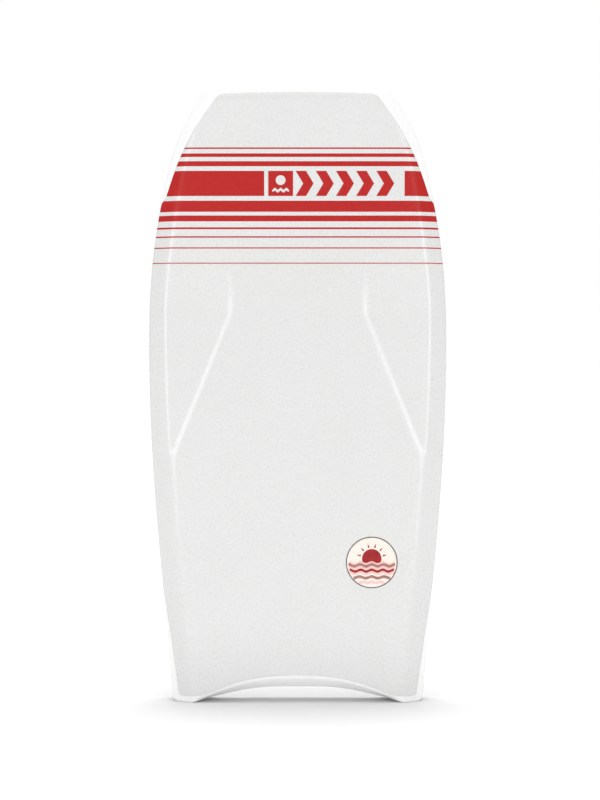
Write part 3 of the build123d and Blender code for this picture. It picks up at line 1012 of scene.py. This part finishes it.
prints.append(printed_shape("band_chevrons", row, red_ink))

# A generic badge low on the right of the deck: a round frame with a sun over rows of waves.
BADGE_X, BADGE_Z = 129.0, 245.5
BADGE_RADIUS = 45.0
FRAME_WIDTH = 1.6
SUN_RADIUS = 17.0
SUN_Z = 252.0
RAY_START, RAY_END, RAY_HALF = 20.0, 27.5, 1.7
RAY_ANGLES = range(-15, 196, 30)
ROW_CLEARANCE = 3.0  # the rows of water stay this far inside the badge
ROW_END = 1.0
POINTS_PER_ROW_WAVE = 14


def badge_row(low, high, height, waves):
    """A row of water right across the badge, with rippled edges."""
    middle = (low + high) / 2 - BADGE_Z
    half = math.sqrt((BADGE_RADIUS - ROW_CLEARANCE) ** 2 - middle**2) - ROW_END
    xs = np.linspace(-half, half, POINTS_PER_ROW_WAVE * waves + 1)
    ripple = height * np.cos(xs / half * math.pi * waves)
    lower = [(BADGE_X + x, low + r) for x, r in zip(xs, ripple)]
    upper = [(BADGE_X + x, high + r) for x, r in zip(xs, ripple)]
    return lower + upper[::-1]


def ray(degrees):
    """One narrow triangle of light beside the sun."""
    a = math.radians(degrees)
    out, across = Vector((math.cos(a), math.sin(a))), Vector((-math.sin(a), math.cos(a)))
    corners = (out * RAY_START - across * RAY_HALF, out * RAY_END, out * RAY_START + across * RAY_HALF)
    return [tuple(Vector((BADGE_X, SUN_Z)) + corner) for corner in corners]


sky_disc = circle(BADGE_X, BADGE_Z, BADGE_RADIUS)
sun_loops = [circle(BADGE_X, SUN_Z, SUN_RADIUS, count=48)] + [ray(angle) for angle in RAY_ANGLES]
water = [badge_row(225.0, 246.0, 1.6, 4), badge_row(208.5, 213.0, 1.0, 3)]
swell = [badge_row(238.0, 243.0, 1.6, 4), badge_row(217.0, 222.0, 1.4, 3)]
surf = [badge_row(229.0, 233.5, 1.6, 4)]
frame_ring = [sky_disc, circle(BADGE_X, BADGE_Z, BADGE_RADIUS - FRAME_WIDTH)]
for name, loops, film, layer in (
    ("badge_sky", [sky_disc], cream_ink, 0),
    ("badge_sun", sun_loops, deep_red_ink, 1),
    ("badge_water", water, pink_ink, 2),
    ("badge_swell", swell, brown_ink, 3),
    ("badge_surf", surf, deep_red_ink, 3),
    ("badge_frame", frame_ring, line_ink, 4),
):
    prints.append(printed_shape(name, loops, film, layer))

for piece in prints:
    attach(piece, body)

# ---- what each node is shown as ----
looks = {
    "deck_skin": (deck_foam, "deck_foam"),
    "bottom_slick": (slick_plastic, "slick_sheet"),
    "rail": (rail_foam, "rail_foam"),
    "tail_rail": (bumper_foam, "rail_foam"),
    "nose_bumper": (bumper_foam, "bumper_foam"),
    "tail_bumper": (bumper_foam, "bumper_foam"),
}
for node, piece in made.items():
    start = next(key for key in sorted(looks, key=len, reverse=True) if node.startswith(key))
    material, slot = looks[start]
    piece.data.materials.append(material)
    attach(piece, body)
    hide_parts(node)



# ---- inside: the CAD nodes themselves, with their own finishes ----
def bead_foam():
    """Moulded foam: pale beads with darker joints."""
    material = new_material("core_foam_beads", (0.86, 0.83, 0.74), 0.75)
    joints = cells(material, 260.0, "DISTANCE_TO_EDGE")
    beads = [(0.0, (0.70, 0.66, 0.56)), (0.12, (0.88, 0.85, 0.77))]
    set_colour(material, ramp(material, joints, beads))
    set_roughness(material, spread_value(material, noise(material, 300.0), 0.65, 0.85))
    bump(material, (joints, 0.0004), (noise(material, 900.0), 0.0001))
    return material


def netting():
    """Dark strands that cross, with pale adhesive between them."""
    material = new_material("mesh_strands", (0.20, 0.21, 0.22), 0.45)
    crossing = add_node(material, "ShaderNodeMath", operation="MAXIMUM")
    for socket, turn in zip(crossing.inputs, (45, -45)):
        link(material, lines(material, MESH_SCALE, turn), socket)
    weave = crossing.outputs["Value"]
    strands = [(0.80, (0.70, 0.70, 0.68)), (0.90, (0.16, 0.17, 0.18))]
    set_colour(material, ramp(material, weave, strands))
    set_roughness(material, spread_value(material, noise(material, 400.0), 0.35, 0.6))
    bump(material, (weave, 0.0004))
    return material


def wound_fibre():
    """Carbon fibre wound both ways round the stringer, under a thin clear coat."""
    material = new_material("stringer_fibre", (0.03, 0.03, 0.032), 0.3, Coat_Weight=0.4)
    one_way, other_way = [lines(material, 110.0, turn) for turn in (35, -35)]
    tows = [(0.2, (0.018, 0.018, 0.02)), (0.8, (0.055, 0.055, 0.06))]
    set_colour(material, ramp(material, one_way, tows))
    set_roughness(material, spread_value(material, other_way, 0.22, 0.42))
    bump(material, (one_way, 0.0001), (other_way, 0.0001))
    return material


def moulded_plastic():
    """Black plastic with a fine moulded grain."""
    material = new_material("cap_plastic", (0.05, 0.05, 0.055), 0.45)
    grain = noise(material, 900.0)
    shades = [(0.3, (0.04, 0.04, 0.045)), (0.7, (0.065, 0.065, 0.07))]
    set_colour(material, ramp(material, grain, shades))
    set_roughness(material, spread_value(material, noise(material, 500.0), 0.38, 0.55))
    bump(material, (grain, 0.00005))
    return material


core_foam = bead_foam()
cap_plastic = moulded_plastic()
for node, material in (
    ("foam_core", core_foam),
    ("stringer_plug", core_foam),
    ("core_mesh", netting()),
    ("stringer_tube", wound_fibre()),
    ("stringer_cap_front", cap_plastic),
    ("stringer_cap_rear", cap_plastic),
):
    nodes[node].data.materials.clear()
    nodes[node].data.materials.append(material)


# ---- stage: floor, backdrop, light and camera ----
def stage_material(name, colour, glow=0.0):
    """Matt paint, which may shine by itself."""
    material = bpy.data.materials.new(name)
    material.use_nodes = True
    shader = shader_of(material)
    shader.inputs["Base Color"].default_value = (*colour, 1)
    shader.inputs["Roughness"].default_value = 1.0
    shader.inputs["Specular IOR Level"].default_value = 0.0
    if glow:
        shader.inputs["Emission Color"].default_value = (1, 1, 1, 1)
        shader.inputs["Emission Strength"].default_value = glow
    return material


FLOOR = 60.0  # the floor reaches this far from the board, in metres
FLOOR_PAINT = (0.95, 0.95, 0.95)
PAINTED_CONTACT_SHADOW = (0.65, 0.65, 0.65)  # painted contact shadow: the floor's darkest paint, where nothing of the sky is open to the floor
# how far from the board the painted contact shadow reaches, in metres
PAINTED_SHADOW_REACH = 1.0
BACKDROP_RADIUS = 50.0
floor_mesh = bpy.data.meshes.new("floor")
floor_mesh.from_pydata(
    [(-FLOOR, -FLOOR, 0), (FLOOR, -FLOOR, 0), (FLOOR, FLOOR, 0), (-FLOOR, FLOOR, 0)],
    [],
    [(0, 1, 2, 3)],
)
floor = bpy.data.objects.new("floor", floor_mesh)
floor_paint_and_shadow = stage_material("floor_paint_and_shadow", FLOOR_PAINT)
# An occlusion node darkens the floor's paint near the board and under the crescent: a painted contact
# shadow, not a cast one.
painted_shadow_openness = add_node(floor_paint_and_shadow, "ShaderNodeAmbientOcclusion", Distance=PAINTED_SHADOW_REACH)
shades = [(0.0, PAINTED_CONTACT_SHADOW), (1.0, FLOOR_PAINT)]
set_colour(floor_paint_and_shadow, ramp(floor_paint_and_shadow, painted_shadow_openness.outputs["AO"], shades))
floor.data.materials.append(floor_paint_and_shadow)
bpy.context.scene.collection.objects.link(floor)

# Only the camera sees the backdrop: it lights nothing.
sky_mesh = bpy.data.meshes.new("backdrop")
sky_work = bmesh.new()
bmesh.ops.create_icosphere(sky_work, subdivisions=4, radius=BACKDROP_RADIUS)
bmesh.ops.reverse_faces(sky_work, faces=sky_work.faces)
sky_work.to_mesh(sky_mesh)
sky_work.free()
sky = bpy.data.objects.new("backdrop", sky_mesh)
sky.data.materials.append(stage_material("backdrop_paint", (0, 0, 0), glow=1.0))
for ray in ("diffuse", "glossy", "transmission", "shadow", "volume_scatter"):
    setattr(sky, f"visible_{ray}", False)
bpy.context.scene.collection.objects.link(sky)


def sun(name, strength, azimuth, elevation, angle):
    """A soft, even light; azimuth 0 is from the front, and grows towards the right."""
    data = bpy.data.lights.new(name, "SUN")
    data.energy = strength
    data.angle = math.radians(angle)
    lamp = bpy.data.objects.new(name, data)
    a, e = math.radians(azimuth), math.radians(elevation)
    towards = Vector((math.sin(a) * math.cos(e), -math.cos(a) * math.cos(e), math.sin(e)))
    lamp.rotation_euler = towards.to_track_quat("Z", "Y").to_euler()
    bpy.context.scene.collection.objects.link(lamp)


sun("top_light", strength=2.17, azimuth=180.0, elevation=86.0, angle=34.0)


def softbox(name, power, azimuth, distance, middle_z, width, height):
    """An upright rectangular light that faces the middle of the board."""
    data = bpy.data.lights.new(name, "AREA")
    data.shape = "RECTANGLE"
    data.size, data.size_y = width, height
    data.energy = power
    lamp = bpy.data.objects.new(name, data)
    a = math.radians(azimuth)
    lamp.location = (distance * math.sin(a), -distance * math.cos(a), middle_z)
    towards = Vector((lamp.location.x, lamp.location.y, 0))
    lamp.rotation_euler = towards.to_track_quat("Z", "Y").to_euler()
    lamp.visible_camera = False
    bpy.context.scene.collection.objects.link(lamp)


for name, azimuth in (("left_softbox", -30.0), ("right_softbox", 30.0)):
    softbox(name, power=25.0, azimuth=azimuth, distance=4.0, middle_z=0.95, width=0.4, height=1.8)
softbox("low_fill", power=0.13, azimuth=0.0, distance=0.42, middle_z=0.06, width=0.7, height=0.1)

world = bpy.data.worlds.new("studio")
world.use_nodes = True
world.node_tree.nodes["Background"].inputs["Color"].default_value = (1, 1, 1, 1)
world.node_tree.nodes["Background"].inputs["Strength"].default_value = 0.42
bpy.context.scene.world = world
bpy.context.scene.view_settings.view_transform = "Standard"

DISTANCE = 3.2
VIEW_HEIGHT = 1.4  # what the picture shows from top to bottom, at the board
aim = Vector((0.004, 0.0, 0.528))
elevation = math.radians(1.5)
camera_data = bpy.data.cameras.new("camera")
camera_data.sensor_fit = "VERTICAL"
camera_data.sensor_height = 24.0
camera_data.lens = camera_data.sensor_height * DISTANCE / VIEW_HEIGHT
camera = bpy.data.objects.new("camera", camera_data)
camera.location = aim + Vector((0, -DISTANCE * math.cos(elevation), DISTANCE * math.sin(elevation)))
look = (aim - camera.location).to_track_quat("-Z", "Y")
camera.rotation_euler = look.to_euler()
bpy.context.scene.collection.objects.link(camera)
bpy.context.scene.camera = camera
